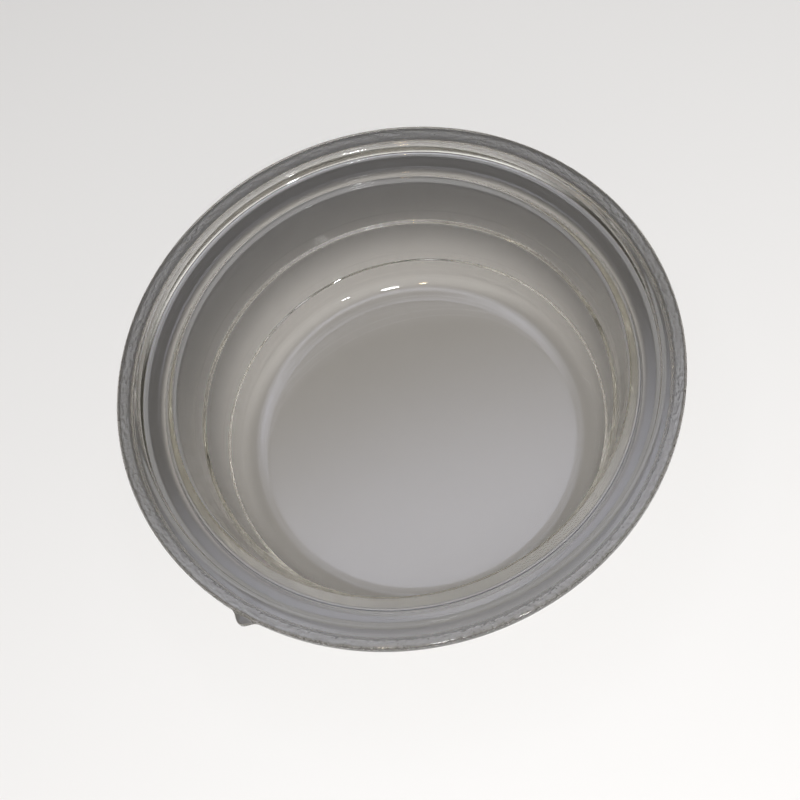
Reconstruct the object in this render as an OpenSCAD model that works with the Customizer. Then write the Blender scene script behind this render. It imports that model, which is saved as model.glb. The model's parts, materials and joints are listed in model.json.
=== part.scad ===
// Porthole glass: a bowl pressed in one piece of clear glass, with a joggled
// flange that a door ring clamps. It stands on its flat floor, mouth up.
// The origin is the centre of the floor's underside. The locating lug is on -Y.

/* [Overall] */
// Outer diameter of the rim
rim_d = 320; // [308:2:360]
// Height from the underside of the floor to the top of the rim
height = 104; // [103:1:130]

/* [Flange] */
// Thickness of the raised rim band
rim_t = 6; // [5:0.5:7]
// Width of the flat rim band, seen from above
band_w = 13; // [11:0.5:15]
// Depth of the step from the rim band down to the shelf
step_h = 7; // [5:0.5:8]
// Thickness of the shelf between the step and the wall
shelf_t = 6; // [5:0.5:7]
// Width of the seat under the rim band, outside the round register
seat_w = 8; // [4:0.5:10]

/* [Bowl] */
// Diameter of the mouth, where the shelf meets the wall
mouth_d = 258; // [250:1:264]
// Thickness of the wall at its mouth and at its foot
wall_t = 6; // [5:0.5:7]
// Thickness of the floor
floor_t = 7.5; // [6:0.5:9]
// Slope of the wall above the upper ledge, from the vertical, in degrees
upper_draft = 14; // [10:0.5:16]
// Slope of the wall below the upper ledge, from the vertical, in degrees
draft = 9; // [6:0.5:11]
// Depth of the upper ledge below the top of the rim
upper_ledge_z = 42; // [36:1:46]
// Width of the upper ledge
upper_ledge_w = 2; // [1.5:0.25:3]
// Depth of the lower ledge below the top of the rim
lower_ledge_z = 77; // [72:1:78]
// Width of the lower ledge
lower_ledge_w = 1; // [0.8:0.1:1.5]
// Radius inside the corner between the wall and the floor
corner_r = 18; // [14:1:20]

/* [Lug] */
// How far the lug reaches past the rim
lug_reach = 5; // [3:0.5:8]
// Width of the lug where it leaves the rim
lug_w = 20; // [14:1:26]
// Thickness of the lug
lug_t = 4; // [3:0.5:4.5]

/* [Hidden] */

// Largest angle between two points on a rounded corner
ARC_STEP = 9;
$fn = 180;

rim_r = rim_d / 2;
register_r = rim_r - seat_w;
mouth_r = mouth_d / 2;

// The step's riser leans by this much, so that the press tool draws out
riser_lean = 2.5;
// A ledge drops by this much over its width
ledge_drop = 1;
// Edge rounding of the rim, the step, its foot, the lip, the ledges, the flange's root and the register
rim_round = 1.8;
step_round = 3;
step_foot_round = 2;
lip_round = 1.2;
ledge_round = 0.8;
root_round = 6;
register_round = 1.2;

// Levels, from the floor's underside up
shelf_top = height - step_h;
shelf_under = shelf_top - shelf_t;
rim_under = height - rim_t;
upper_ledge_top = height - upper_ledge_z;
lower_ledge_top = height - lower_ledge_z;

// Radii of the inner wall at its corners, from the mouth down
slope = tan(draft);
upper_slope = tan(upper_draft);
upper_foot_r = mouth_r - (shelf_top - upper_ledge_top) * upper_slope;
upper_nose_r = upper_foot_r - upper_ledge_w;
upper_nose_z = upper_ledge_top - ledge_drop;
lower_foot_r = upper_nose_r - (upper_nose_z - lower_ledge_top) * slope;
lower_nose_r = lower_foot_r - lower_ledge_w;
lower_nose_z = lower_ledge_top - ledge_drop;
floor_corner_r = lower_nose_r - (lower_nose_z - floor_t) * slope;

// The outer wall is one straight slope, a wall thickness outside the inner one
// at its foot and at its mouth. Only the inner wall has ledges.
outer_foot_r = floor_corner_r + wall_t / cos(draft) - floor_t * slope;
outer_mouth_r = mouth_r + wall_t / cos(upper_draft) - shelf_t * upper_slope;

// Corners of the half section as [radius, height, rounding], anticlockwise
// from the centre of the underside
SECTION = [
    [0, 0, 0],
    [outer_foot_r, 0, corner_r + 4],
    [outer_mouth_r, shelf_under, root_round],
    [register_r, shelf_under, register_round],
    [register_r, rim_under, register_round],
    [rim_r, rim_under, rim_round],
    [rim_r, height, rim_round],
    [rim_r - band_w, height, step_round],
    [rim_r - band_w - riser_lean, shelf_top, step_foot_round],
    [mouth_r, shelf_top, lip_round],
    [upper_foot_r, upper_ledge_top, ledge_round],
    [upper_nose_r, upper_nose_z, ledge_round],
    [lower_foot_r, lower_ledge_top, ledge_round],
    [lower_nose_r, lower_nose_z, ledge_round],
    [floor_corner_r, floor_t, corner_r],
    [0, floor_t, 0],
];

function unit(v) = v / norm(v);
function flat(p) = [p[0], p[1]];
function turned(v, a) = [v.x * cos(a) - v.y * sin(a), v.x * sin(a) + v.y * cos(a)];

// The arc that rounds corner p between its neighbours a and b
function rounded(a, p, b) =
    let (
        to_a = unit(flat(a) - flat(p)),
        to_b = unit(flat(b) - flat(p)),
        half = acos(to_a * to_b) / 2,
        centre = flat(p) + unit(to_a + to_b) * p[2] / sin(half),
        start = flat(p) + to_a * p[2] / tan(half) - centre,
        sweep = (180 - 2 * half) * sign(cross(to_b, to_a)),
        steps = ceil(abs(sweep) / ARC_STEP)
    )
    [for (i = [0:steps]) centre + turned(start, sweep * i / steps)];

function outline(corners) =
    let (last = len(corners) - 1)
    [for (i = [0:last])
        each corners[i][2] == 0
            ? [flat(corners[i])]
            : rounded(corners[i - 1], corners[i], corners[i + 1])];

// The lug's outline: a bell that rises out of the rim, on a base inside it
lug_sink = 0.6;
lug_points = 12;
function bell(s) = pow(cos(90 * s), 3);
function lug_edge(s) =
    let (
        x = s * lug_w / 2,
        base = sqrt(pow(rim_r - lug_sink, 2) - x * x)
    )
    [x, -base - (lug_reach + lug_sink) * bell(s)];

module lug() {
    root = -(rim_r - 4);
    translate([0, 0, rim_under + (rim_t - lug_t) / 2])
        linear_extrude(height = lug_t)
            polygon(concat(
                [for (i = [-lug_points:lug_points]) lug_edge(i / lug_points)],
                [[lug_w / 2, root], [-lug_w / 2, root]]
            ));
}

module glass_bowl() {
    color([0.62, 0.64, 0.62, 0.5])
        union() {
            rotate_extrude() polygon(outline(SECTION));
            lug();
        }
}

glass_bowl();
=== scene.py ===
"""Porthole glass of a front-loading washing machine, standing on a pale studio floor."""
import json
import math

import bpy
import numpy as np
from mathutils import Matrix, Vector


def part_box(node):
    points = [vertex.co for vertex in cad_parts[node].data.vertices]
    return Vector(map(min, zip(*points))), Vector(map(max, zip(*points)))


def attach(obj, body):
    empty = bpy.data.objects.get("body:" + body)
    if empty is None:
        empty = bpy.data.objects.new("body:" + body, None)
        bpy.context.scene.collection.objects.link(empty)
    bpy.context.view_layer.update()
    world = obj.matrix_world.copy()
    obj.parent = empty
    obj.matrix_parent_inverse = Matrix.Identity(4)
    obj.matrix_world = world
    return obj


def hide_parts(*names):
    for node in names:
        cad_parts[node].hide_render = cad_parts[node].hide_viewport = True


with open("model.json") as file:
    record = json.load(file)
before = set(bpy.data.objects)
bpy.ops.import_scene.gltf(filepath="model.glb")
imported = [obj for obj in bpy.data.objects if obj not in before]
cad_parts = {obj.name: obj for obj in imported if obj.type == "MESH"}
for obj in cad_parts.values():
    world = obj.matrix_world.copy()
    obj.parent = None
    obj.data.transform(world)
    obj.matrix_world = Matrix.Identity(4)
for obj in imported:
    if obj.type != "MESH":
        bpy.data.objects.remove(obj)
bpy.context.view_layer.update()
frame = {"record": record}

MM = 0.001
ROUNDING_ERROR = 1e-9

# ---------------------------------------------------------------- sizes, from the frame
box_low, box_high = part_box("glass_bowl")
mounts = {mount["name"]: mount for mount in frame["record"]["mounts"]}

RIM_R = box_high[0]
HEIGHT = box_high[2]
LUG_REACH = -box_low[1] - RIM_R
REGISTER_R = mounts["register"]["dims"]["r_mm"] * MM
RIM_UNDER = mounts["rim_seat"]["pos_m"][2]

# ---------------------------------------------------------------- sizes of the section
# A ledge's Z is its depth below the top of the rim. The drafts lean from the vertical.
BAND_W = 13 * MM
STEP_H = 7 * MM
SHELF_T = 6 * MM
RISER_LEAN = 2.5 * MM
MOUTH_R = 129 * MM
WALL_T = 6 * MM
FLOOR_T = 7.5 * MM
UPPER_DRAFT = math.radians(14)
DRAFT = math.radians(9)
UPPER_LEDGE_Z = 42 * MM
UPPER_LEDGE_W = 2 * MM
LOWER_LEDGE_Z = 77 * MM
LOWER_LEDGE_W = 1 * MM
LEDGE_DROP = 1 * MM
CORNER_R = 18 * MM
OUTER_CORNER_R = 22 * MM
RIM_ROUND = 1.8 * MM
STEP_ROUND = 3 * MM
STEP_FOOT_ROUND = 2 * MM
LIP_ROUND = 1.2 * MM
LEDGE_ROUND = 0.8 * MM
ROOT_ROUND = 6 * MM
REGISTER_ROUND = 1.2 * MM

# The lug on -Y: its width at the rim, and how thick it is at its tip and root
LUG_ANGLE = -math.pi / 2
LUG_W = 20 * MM
LUG_TIP_HALF = 1.5 * MM
LUG_ROOT_HALF = 2.3 * MM

# Mesh density: the turn between points on a rounded corner, finer on the rim's edge,
# the step along a straight run, and the row kept close to each end of a run
ARC_STEP = math.radians(9)
FINE_ARC_STEP = math.radians(6)
LEAST_ARC_STEPS = 4
RUN_STEP = 8 * MM
EDGE_LOOP = 0.25 * MM

# The turn between meridians, round the bowl and within LUG_TURN_REACH of the lug
TURN_STEP = math.radians(0.9)
LUG_TURN_STEP = math.radians(0.25)
LUG_TURN_REACH = math.radians(5)

# Unevenness of the pressed surface, on the faces that seat and in the walls
SEAT_UNEVEN = 0.01 * MM
WALL_UNEVEN = 0.025 * MM
# It grows between these heights above the underside, and fades between these depths below the rim
GROWS_ABOVE = (12 * MM, 30 * MM)
FADES_BELOW_RIM = (6 * MM, 20 * MM)
# Each ripple as (x, y, z) in radians a metre, its phase and its weight
RIPPLES = [
    (115.9, 32.3, 43.7, 0.3, 1.0), (-70.3, 134.9, 58.9, 1.9, 0.8),
    (214.7, -127.3, 157.7, 4.1, 0.6), (-286.9, -184.3, 241.3, 2.6, 0.5),
    (400.9, 328.7, -115.9, 5.3, 0.3), (-169.1, 476.9, 374.3, 0.9, 0.25),
]


def section():
    """Corners of the half section as (radius, height, rounding), anticlockwise from the centre."""
    slope = math.tan(DRAFT)
    upper_slope = math.tan(UPPER_DRAFT)
    shelf_top = HEIGHT - STEP_H
    shelf_under = shelf_top - SHELF_T
    upper_z = HEIGHT - UPPER_LEDGE_Z
    lower_z = HEIGHT - LOWER_LEDGE_Z
    upper_foot = MOUTH_R - (shelf_top - upper_z) * upper_slope
    upper_nose = upper_foot - UPPER_LEDGE_W
    lower_foot = upper_nose - (upper_z - LEDGE_DROP - lower_z) * slope
    lower_nose = lower_foot - LOWER_LEDGE_W
    floor_corner = lower_nose - (lower_z - LEDGE_DROP - FLOOR_T) * slope
    outer_foot = floor_corner + WALL_T / math.cos(DRAFT) - FLOOR_T * slope
    outer_mouth = MOUTH_R + WALL_T / math.cos(UPPER_DRAFT) - SHELF_T * upper_slope
    return [
        (0, 0, 0),
        (outer_foot, 0, OUTER_CORNER_R),
        (outer_mouth, shelf_under, ROOT_ROUND),
        (REGISTER_R, shelf_under, REGISTER_ROUND),
        (REGISTER_R, RIM_UNDER, REGISTER_ROUND),
        (RIM_R, RIM_UNDER, RIM_ROUND),
        (RIM_R, HEIGHT, RIM_ROUND),
        (RIM_R - BAND_W, HEIGHT, STEP_ROUND),
        (RIM_R - BAND_W - RISER_LEAN, shelf_top, STEP_FOOT_ROUND),
        (MOUTH_R, shelf_top, LIP_ROUND),
        (upper_foot, upper_z, LEDGE_ROUND),
        (upper_nose, upper_z - LEDGE_DROP, LEDGE_ROUND),
        (lower_foot, lower_z, LEDGE_ROUND),
        (lower_nose, lower_z - LEDGE_DROP, LEDGE_ROUND),
        (floor_corner, FLOOR_T, CORNER_R),
        (0, FLOOR_T, 0),
    ]


def rounded(before, corner, after, step):
    """Points of the arc that rounds a corner between its two neighbours."""
    at = np.array(corner[:2])
    to_a = np.array(before[:2]) - at
    to_b = np.array(after[:2]) - at
    to_a /= np.linalg.norm(to_a)
    to_b /= np.linalg.norm(to_b)
    half = math.acos(float(to_a @ to_b)) / 2
    middle = (to_a + to_b) / np.linalg.norm(to_a + to_b)
    centre = at + middle * corner[2] / math.sin(half)
    start = at + to_a * corner[2] / math.tan(half) - centre
    turn = to_b[0] * to_a[1] - to_b[1] * to_a[0]
    sweep = math.copysign(math.pi - 2 * half, turn)
    steps = max(LEAST_ARC_STEPS, math.ceil(abs(sweep) / step))
    points = []
    for i in range(steps + 1):
        angle = sweep * i / steps
        cos, sin = math.cos(angle), math.sin(angle)
        turned = np.array([start[0] * cos - start[1] * sin, start[0] * sin + start[1] * cos])
        points.append(centre + turned)
    return points


def run(a, b):
    """Points between a and b, close to both ends so that smooth shading keeps the face flat."""
    length = float(np.linalg.norm(b - a))
    if length < 3 * EDGE_LOOP:
        return []
    inner = max(1, round((length - 2 * EDGE_LOOP) / RUN_STEP))
    spots = [EDGE_LOOP + (length - 2 * EDGE_LOOP) * i / inner for i in range(inner + 1)]
    return [a + (b - a) * spot / length for spot in spots]


def profile():
    """The whole half section as an array of (radius, height)."""
    corners = section()
    arcs = []
    for i, corner in enumerate(corners):
        if corner[2] == 0:
            arcs.append([np.array(corner[:2])])
            continue
        step = FINE_ARC_STEP if corner[0] == RIM_R else ARC_STEP
        arcs.append(rounded(corners[i - 1], corner, corners[i + 1], step))
    points = list(arcs[0])
    for arc in arcs[1:]:
        points += run(points[-1], arc[0])
        points += arc
    return np.array(points)


def turns():
    """Angles of the meridians: even all round, and close together at the lug."""
    at_lug = 2 * LUG_TURN_REACH
    elsewhere = 2 * math.pi - at_lug
    fine = round(at_lug / LUG_TURN_STEP)
    coarse = round(elsewhere / TURN_STEP)
    return np.concatenate([
        LUG_ANGLE - LUG_TURN_REACH + at_lug * np.arange(fine) / fine,
        LUG_ANGLE + LUG_TURN_REACH + elsewhere * np.arange(coarse) / coarse,
    ])


def waves(x, y, z):
    """Slow unevenness of pressed glass, from -1 to 1: a few crossing ripples."""
    total = sum(
        weight * np.sin(kx * x + ky * y + kz * z + phase)
        for kx, ky, kz, phase, weight in RIPPLES
    )
    return total / sum(ripple[-1] for ripple in RIPPLES)


def smooth_step(low, high, x):
    """0 at low, 1 at high, and an even S between them."""
    t = np.clip((x - low) / (high - low), 0, 1)
    return t * t * (3 - 2 * t)


def bowl_mesh():
    """The pressed glass bowl as one closed lathe mesh, with its lug drawn out of the rim."""
    line = profile()
    angles = turns()
    ring = line[1:-1]
    rows, columns = len(ring), len(angles)

    # Outward normals of the section, for the unevenness
    ahead = np.roll(line, -1, axis=0)[1:-1] - np.roll(line, 1, axis=0)[1:-1]
    normal = np.stack([ahead[:, 1], -ahead[:, 0]], axis=1)
    normal /= np.linalg.norm(normal, axis=1, keepdims=True)

    r = np.repeat(ring[:, :1], columns, axis=1)
    z = np.repeat(ring[:, 1:], columns, axis=1)
    cos, sin = np.cos(angles)[None, :], np.sin(angles)[None, :]

    # Unevenness: strongest in the walls, faint on the faces that seat
    depth = HEIGHT - z
    in_wall = smooth_step(*GROWS_ABOVE, z) * smooth_step(*FADES_BELOW_RIM, depth)
    amount = SEAT_UNEVEN + (WALL_UNEVEN - SEAT_UNEVEN) * in_wall
    push = amount * waves(r * cos, r * sin, z)
    r = r + push * normal[:, :1]
    z = z + push * normal[:, 1:]

    # The lug: a bell along the rim, drawn out of the rim band's edge only
    from_lug = np.abs((angles - LUG_ANGLE + math.pi) % (2 * math.pi) - math.pi)
    bell = np.cos(np.clip(from_lug * RIM_R / (LUG_W / 2), 0, 1) * math.pi / 2) ** 3
    off_middle = np.abs(z - (HEIGHT + RIM_UNDER) / 2)
    on_edge = ring[:, :1] > RIM_R - RIM_ROUND - ROUNDING_ERROR
    grip = (1 - smooth_step(LUG_TIP_HALF, LUG_ROOT_HALF, off_middle)) * on_edge
    r = np.minimum(r, RIM_R) + LUG_REACH * bell[None, :] * grip
    z = np.clip(z, 0, HEIGHT)

    points = np.stack([r * cos, r * sin, z], axis=2).reshape(-1, 3)
    under_centre, floor_centre = len(points), len(points) + 1
    points = np.vstack([points, [0, 0, line[0, 1]], [0, 0, line[-1, 1]]])

    faces = []
    for i in range(rows - 1):
        row, row_above = i * columns, (i + 1) * columns
        for j in range(columns):
            k = (j + 1) % columns
            faces.append((row + j, row + k, row_above + k, row_above + j))
    last_row = (rows - 1) * columns
    for j in range(columns):
        k = (j + 1) % columns
        faces.append((under_centre, k, j))
        faces.append((floor_centre, last_row + j, last_row + k))

    mesh = bpy.data.meshes.new("pressed_bowl")
    mesh.from_pydata(points.tolist(), [], faces)
    mesh.polygons.foreach_set("use_smooth", np.ones(len(mesh.polygons), dtype=bool))
    mesh.update()
    return mesh


# ---------------------------------------------------------------- node helpers
def math_node(tree, operation, first, second):
    """The output of a Math node that works on two outputs."""
    node = tree.nodes.new("ShaderNodeMath")
    node.operation = operation
    tree.links.new(first, node.inputs[0])
    tree.links.new(second, node.inputs[1])
    return node.outputs["Value"]


def map_node(tree, value, source, target=(0, 1), interpolation="LINEAR"):
    """The output of a Map Range node from the range source to the range target, clamped."""
    node = tree.nodes.new("ShaderNodeMapRange")
    node.interpolation_type = interpolation
    node.inputs["From Min"].default_value, node.inputs["From Max"].default_value = source
    node.inputs["To Min"].default_value, node.inputs["To Max"].default_value = target
    tree.links.new(value, node.inputs["Value"])
    return node.outputs["Result"]


# ---------------------------------------------------------------- materials
GLASS_IOR = 1.52
# The body's tint, and how strongly it takes up light along its path
TINT = (0.70, 0.69, 0.65, 1)
TINT_DENSITY = 12

# The stipple under the rim band: how far it takes to set in past the register,
# the heights above the underside between which it ends, its grain and its depth
STIPPLE_SET_IN = 2 * MM
STIPPLE_FULL_BELOW = 0.2 * MM
STIPPLE_NONE_ABOVE = 1 * MM
STIPPLE_SCALE = 430
STIPPLE_DETAIL = 2
STIPPLE_DEPTH = 0.9 * MM


def new_material(name):
    """A material with its node tree and its Principled shader."""
    material = bpy.data.materials.new(name)
    material.use_nodes = True
    tree = material.node_tree
    return material, tree, tree.nodes["Principled BSDF"]


def add_stipple(tree, shader):
    """Roughen the underside of the rim band, which keeps the mould's fine stipple."""
    place = tree.nodes.new("ShaderNodeTexCoord").outputs["Object"]
    split = tree.nodes.new("ShaderNodeSeparateXYZ")
    flat = tree.nodes.new("ShaderNodeCombineXYZ")
    radius = tree.nodes.new("ShaderNodeVectorMath")
    radius.operation = "LENGTH"
    tree.links.new(place, split.inputs["Vector"])
    tree.links.new(split.outputs["X"], flat.inputs["X"])
    tree.links.new(split.outputs["Y"], flat.inputs["Y"])
    tree.links.new(flat.outputs["Vector"], radius.inputs[0])

    past_register = map_node(tree, radius.outputs["Value"], (REGISTER_R, REGISTER_R + STIPPLE_SET_IN))
    low_down = map_node(
        tree, split.outputs["Z"], (RIM_UNDER + STIPPLE_NONE_ABOVE, RIM_UNDER + STIPPLE_FULL_BELOW)
    )
    grain = tree.nodes.new("ShaderNodeTexNoise")
    grain.inputs["Scale"].default_value = STIPPLE_SCALE
    grain.inputs["Detail"].default_value = STIPPLE_DETAIL
    tree.links.new(place, grain.inputs["Vector"])

    where = math_node(tree, "MULTIPLY", past_register, low_down)
    bump = tree.nodes.new("ShaderNodeBump")
    bump.inputs["Strength"].default_value = 1
    bump.inputs["Distance"].default_value = STIPPLE_DEPTH
    tree.links.new(math_node(tree, "MULTIPLY", grain.outputs["Fac"], where), bump.inputs["Height"])
    tree.links.new(bump.outputs["Normal"], shader.inputs["Normal"])


def glass_material():
    """Clear pressed glass with a faint grey-olive body tint."""
    material, tree, shader = new_material("clear_pressed_glass")
    shader.inputs["Base Color"].default_value = (1, 1, 1, 1)
    shader.inputs["Roughness"].default_value = 0
    shader.inputs["IOR"].default_value = GLASS_IOR
    shader.inputs["Transmission Weight"].default_value = 1
    tint = tree.nodes.new("ShaderNodeVolumeAbsorption")
    tint.inputs["Color"].default_value = TINT
    tint.inputs["Density"].default_value = TINT_DENSITY
    tree.links.new(tint.outputs["Volume"], tree.nodes["Material Output"].inputs["Volume"])
    add_stipple(tree, shader)
    return material


def floor_material():
    """The matt, pale studio floor."""
    material, _, shader = new_material("studio_floor")
    shader.inputs["Base Color"].default_value = (0.80, 0.79, 0.78, 1)
    shader.inputs["Roughness"].default_value = 0.7
    return material


# ---------------------------------------------------------------- the piece
glass = bpy.data.objects.new("pressed_glass_bowl", bowl_mesh())
bpy.context.scene.collection.objects.link(glass)
glass.data.materials.append(glass_material())
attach(glass, "root")
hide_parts("glass_bowl")

# ---------------------------------------------------------------- studio
def towards(azimuth, elevation):
    """The direction at an azimuth from -Y towards +X and an elevation, both in degrees."""
    a, e = math.radians(azimuth), math.radians(elevation)
    return Vector((math.sin(a) * math.cos(e), -math.cos(a) * math.cos(e), math.sin(e)))


AZIMUTH = 48.75
ELEVATION = 64.16
ROLL = math.radians(19.92)
DISTANCE = 6.5 * RIM_R
# The camera aims a little to the near side of the mouth's centre
AIM_NEAR = 0.1096 * RIM_R
AIM_LEFT = 0.0198 * RIM_R
FOCAL_MM = 84.91
SENSOR_MM = 36

# Directions from the bowl to the camera, level to the camera's right, and level to its side
back = towards(AZIMUTH, ELEVATION)
level_right = towards(AZIMUTH + 90, 0)
level_near = towards(AZIMUTH, 0)

# The floor reaches to the horizon and lies a hair below the glass
FLOOR_HALF = 30
FLOOR_GAP = 0.2 * MM


def add_camera():
    """The camera of the photograph's view."""
    aim = Vector((0, 0, HEIGHT)) + level_near * AIM_NEAR - level_right * AIM_LEFT
    level_up = back.cross(level_right)
    right = level_right * math.cos(ROLL) - level_up * math.sin(ROLL)
    up = level_up * math.cos(ROLL) + level_right * math.sin(ROLL)
    turn = Matrix((right, up, back)).transposed().to_4x4()
    data = bpy.data.cameras.new("camera")
    data.lens = FOCAL_MM
    data.sensor_width = SENSOR_MM
    camera = bpy.data.objects.new("camera", data)
    bpy.context.scene.collection.objects.link(camera)
    camera.matrix_world = Matrix.Translation(aim + back * DISTANCE) @ turn
    bpy.context.scene.camera = camera


def add_disk_light(name, size, power, colour):
    """A round area light that faces down from the origin."""
    data = bpy.data.lights.new(name, "AREA")
    data.shape = "DISK"
    data.size = size
    data.energy = power
    data.color = colour
    data.use_nodes = True
    light = bpy.data.objects.new(name, data)
    bpy.context.scene.collection.objects.link(light)
    return light


def add_softbox(name, azimuth, elevation, distance, size, power, colour=(1, 1, 1)):
    """A disk light that faces the middle of the bowl from the given direction."""
    light = add_disk_light(name, size, power, colour)
    away = towards(azimuth, elevation)
    turn = away.to_track_quat("Z", "Y").to_matrix().to_4x4()
    light.matrix_world = Matrix.Translation(away * distance + Vector((0, 0, HEIGHT / 2))) @ turn
    return light


def gate_light(light, in_sheen, in_floor):
    """Scale a light where it shows as a highlight, and where it lights the table through the glass."""
    tree = light.data.node_tree
    path = tree.nodes.new("ShaderNodeLightPath").outputs
    bent = math_node(tree, "MAXIMUM", path["Is Glossy Ray"], path["Is Transmission Ray"])
    gate = tree.nodes.new("ShaderNodeMix")
    gate.inputs["B"].default_value = in_floor
    tree.links.new(path["Diffuse Depth"], gate.inputs["Factor"])
    tree.links.new(map_node(tree, bent, (0, 1), (1, in_sheen)), gate.inputs["A"])
    tree.links.new(gate.outputs["Result"], tree.nodes["Emission"].inputs["Strength"])


def add_key(behind_glass, **placing):
    """A light for the floor only: it leaves no highlight, and is dimmer where glass is in front."""
    key = add_softbox("key", **placing)
    key.visible_glossy = False
    key.visible_transmission = False
    tree = key.data.node_tree
    path = tree.nodes.new("ShaderNodeLightPath").outputs
    dim = map_node(tree, path["Transmission Depth"], (0, 1), (1, behind_glass))
    tree.links.new(dim, tree.nodes["Emission"].inputs["Strength"])


def add_lamp(name, **placing):
    """A lamp that only shows as a highlight."""
    lamp = add_softbox(name, **placing)
    lamp.visible_diffuse = False
    gate_light(lamp, in_sheen=1, in_floor=0)


def add_table_light(radius, height, far, radiance, colour):
    """A disk that only lightens the table under the glass, and doesn't show itself."""
    power = radiance * (math.pi * radius) ** 2
    light = add_disk_light("table_light", 2 * radius, power, colour)
    light.location = Vector((0, 0, height)) - level_near * far
    gate_light(light, in_sheen=0, in_floor=1)


# The cosine from the camera's side over which the room turns from its far side to its near one
SIDE_TURN = (-0.1, 0.5)


def elevation_ramp(tree, height, stops):
    """The colour of the room at each height, from stops of (degrees, colour)."""
    ramp = tree.nodes.new("ShaderNodeValToRGB")
    ramp.color_ramp.interpolation = "EASE"
    marks = ramp.color_ramp.elements
    while len(marks) < len(stops):
        marks.new(0.5)
    for mark, (elevation, colour) in zip(marks, stops):
        mark.position = math.sin(math.radians(elevation))
        mark.color = (*colour, 1)
    tree.links.new(height, ramp.inputs["Fac"])
    return ramp.outputs["Color"]


def mix_node(tree, factor, first):
    """A colour Mix node and its output, with its factor and first colour linked."""
    node = tree.nodes.new("ShaderNodeMix")
    node.data_type = "RGBA"
    tree.links.new(factor, node.inputs["Factor"])
    tree.links.new(first, node.inputs["A"])
    return node, node.outputs["Result"]


def add_world(near, far, fill, backdrop):
    """A room whose brightness changes with elevation, with one list of stops of (degrees, colour)
    for the side that the camera stands on and one for the other.

    Matt surfaces get an even light of the colour fill instead, and the camera sees a plain backdrop."""
    world = bpy.data.worlds.new("studio")
    world.use_nodes = True
    tree = world.node_tree
    direction = tree.nodes.new("ShaderNodeTexCoord").outputs["Generated"]
    split = tree.nodes.new("ShaderNodeSeparateXYZ")
    tree.links.new(direction, split.inputs["Vector"])
    nearness = tree.nodes.new("ShaderNodeVectorMath")
    nearness.operation = "DOT_PRODUCT"
    nearness.inputs[1].default_value = level_near
    tree.links.new(direction, nearness.inputs[0])
    side = map_node(tree, nearness.outputs["Value"], SIDE_TURN, interpolation="SMOOTHSTEP")

    path = tree.nodes.new("ShaderNodeLightPath").outputs
    height = split.outputs["Z"]
    by_side, room = mix_node(tree, side, elevation_ramp(tree, height, far))
    tree.links.new(elevation_ramp(tree, height, near), by_side.inputs["B"])
    by_depth, light = mix_node(tree, path["Diffuse Depth"], room)
    by_depth.inputs["B"].default_value = (*fill, 1)
    by_camera, seen = mix_node(tree, path["Is Camera Ray"], light)
    by_camera.inputs["B"].default_value = (*backdrop, 1)
    tree.links.new(seen, tree.nodes["Background"].inputs["Color"])
    bpy.context.scene.world = world


def add_floor():
    """The studio floor, for the looks only."""
    corners = [
        (-FLOOR_HALF, -FLOOR_HALF, 0), (FLOOR_HALF, -FLOOR_HALF, 0),
        (FLOOR_HALF, FLOOR_HALF, 0), (-FLOOR_HALF, FLOOR_HALF, 0),
    ]
    mesh = bpy.data.meshes.new("floor")
    mesh.from_pydata(corners, [], [(0, 1, 2, 3)])
    floor = bpy.data.objects.new("studio_floor", mesh)
    bpy.context.scene.collection.objects.link(floor)
    floor.location.z = -FLOOR_GAP
    mesh.materials.append(floor_material())


add_camera()
add_floor()

# The room as seen in the glass: stops of (elevation in degrees, colour)
CEILING = [
    (62, (0.10, 0.095, 0.08)), (69, (1.95, 2.0, 2.35)), (73, (1.6, 1.62, 1.8)),
    (80, (0.5, 0.5, 0.52)), (90, (0.35, 0.35, 0.35)),
]
add_world(
    near=[
        (0, (0.05, 0.048, 0.04)), (8, (0.10, 0.095, 0.08)), (16, (0.90, 0.88, 0.84)),
        (45, (1.0, 0.98, 0.94)), (54, (0.8, 0.78, 0.75)),
    ] + CEILING,
    far=[(0, (0.03, 0.028, 0.022)), (54, (0.05, 0.047, 0.038))] + CEILING,
    fill=(0.052, 0.048, 0.039),
    backdrop=(0.62, 0.61, 0.60),
)
add_key(behind_glass=0.2, azimuth=48, elevation=64, distance=2.1, size=0.16, power=49)
add_lamp("main_lamp", azimuth=35, elevation=53.5, distance=1.15, size=0.14, power=2.4)
add_lamp("right_lamp", azimuth=60, elevation=32, distance=1.15, size=0.08, power=1.0)
add_lamp(
    "left_lamp", azimuth=16, elevation=50, distance=1.15, size=0.06, power=0.5,
    colour=(1.0, 0.72, 0.42),
)
add_table_light(radius=0.128, height=0.020, far=0.022, radiance=0.58, colour=(1.0, 0.955, 0.90))

# Light bounces often between the two faces of a wall before it leaves the glass
BOUNCES = 32
cycles = bpy.context.scene.cycles
cycles.max_bounces = BOUNCES
cycles.glossy_bounces = BOUNCES
cycles.transmission_bounces = BOUNCES
bpy.context.scene.view_settings.view_transform = "Standard"
